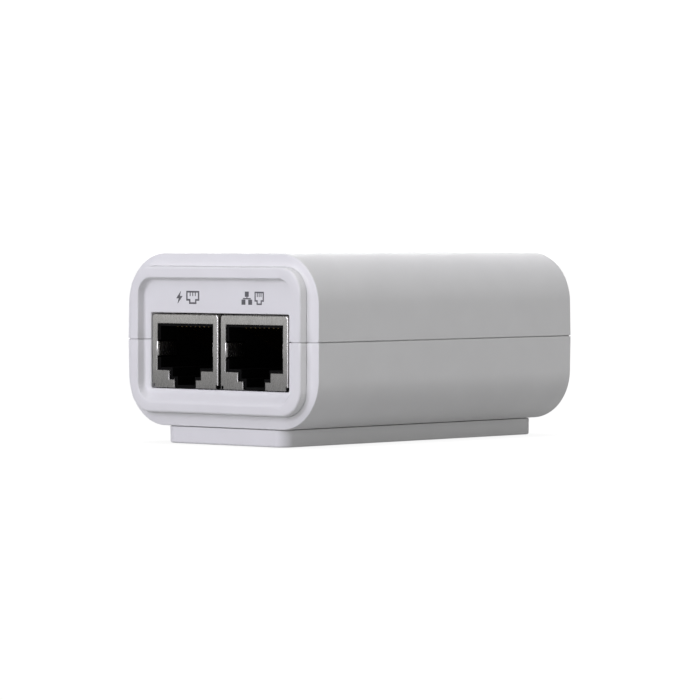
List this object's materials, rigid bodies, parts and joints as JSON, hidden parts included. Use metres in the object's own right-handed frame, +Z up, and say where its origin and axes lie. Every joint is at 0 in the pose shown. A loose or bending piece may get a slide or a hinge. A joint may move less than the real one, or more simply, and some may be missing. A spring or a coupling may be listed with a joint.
{
  "type": "poe injector",
  "caption": "Power injector: a split plastic casing on a slide-on wall bracket, shielded modular jacks at one end and a mains inlet at the other.",
  "frame": {"origin": "centre of the part's footprint, on the plane of the bracket's underside, which is the wall or table face", "axes": "+Z up out of the wall or table, -Y towards the jack end, +Y towards the mains inlet, +X to the right when facing the jacks"},
  "size_m": [0.043, 0.0684, 0.0314],
  "materials": {
    "casing_white": "fine-textured moulded ABS",
    "bracket_white": "fine-textured moulded ABS",
    "shield_nickel": "satin nickel plate",
    "jack_black": "moulded, slightly satin",
    "contact_gold": "gold plate",
    "screw_steel": "zinc plate",
    "inlet_black": "moulded, satin",
    "pin_nickel": "nickel plate",
    "lens_clear": "clear, polished",
    "led_green": "diffused epoxy",
    "board_green": "solder mask",
    "fuse_green": "lacquer",
    "thermistor_olive": "dipped lacquer",
    "film_yellow": "moulded box",
    "ferrite": "sintered ferrite",
    "copper_wire": "enamelled copper",
    "package_black": "epoxy package",
    "can_blue": "shrink sleeve",
    "sink_aluminium": "mill finish",
    "bobbin_black": "moulded phenolic",
    "winding_tape": "polyester tape",
    "disc_blue": "dipped lacquer",
    "opto_cream": "epoxy package",
    "chip_brown": "chip body"
  },
  "bodies": {
    "adapter": {"upper_shell": "casing_white", "lower_shell": "casing_white", "case_screws": "screw_steel", "poe_jack_shield": "shield_nickel", "lan_jack_shield": "shield_nickel", "poe_jack_housing": "jack_black", "lan_jack_housing": "jack_black", "poe_contact_roots": "contact_gold", "lan_contact_roots": "contact_gold", "mains_inlet": "inlet_black", "inlet_pins": "pin_nickel", "light_pipe": "lens_clear", "power_led": "led_green", "main_board": "board_green", "fuse": "fuse_green", "inrush_thermistor": "thermistor_olive", "x_capacitor": "film_yellow", "emi_choke_core": "ferrite", "emi_choke_windings": "copper_wire", "bridge_rectifier": "package_black", "bulk_capacitor": "can_blue", "power_switch": "package_black", "heat_sink": "sink_aluminium", "heat_sink_screw": "screw_steel", "heat_sink_nut": "screw_steel", "controller_chip": "package_black", "transformer_core": "ferrite", "transformer_bobbin": "bobbin_black", "transformer_winding": "winding_tape", "y_capacitor": "disc_blue", "optocoupler": "opto_cream", "output_diode": "package_black", "output_capacitors": "can_blue", "output_choke_core": "ferrite", "output_choke_winding": "copper_wire", "surface_parts": "chip_brown"},
    "bracket": {"mount_bracket": "bracket_white"},
    "poe_contacts": {"poe_contact_arms": "contact_gold"},
    "lan_contacts": {"lan_contact_arms": "contact_gold"}
  },
  "joints": [
    {"name": "bracket_slide", "type": "slide", "parent": "adapter", "child": "bracket", "axis": [0, 1, 0], "range_m": [0, 0.057]},
    {"name": "poe_contact_spring", "type": "hinge", "parent": "adapter", "child": "poe_contacts", "pos_m": [-0.0078, -0.0303, 0.01965], "axis": [1, 0, 0], "range_deg": [0, 12], "stiffness_Nm_per_rad": 0.1},
    {"name": "lan_contact_spring", "type": "hinge", "parent": "adapter", "child": "lan_contacts", "pos_m": [0.0078, -0.0303, 0.01965], "axis": [1, 0, 0], "range_deg": [0, 12], "stiffness_Nm_per_rad": 0.1}
  ]
}
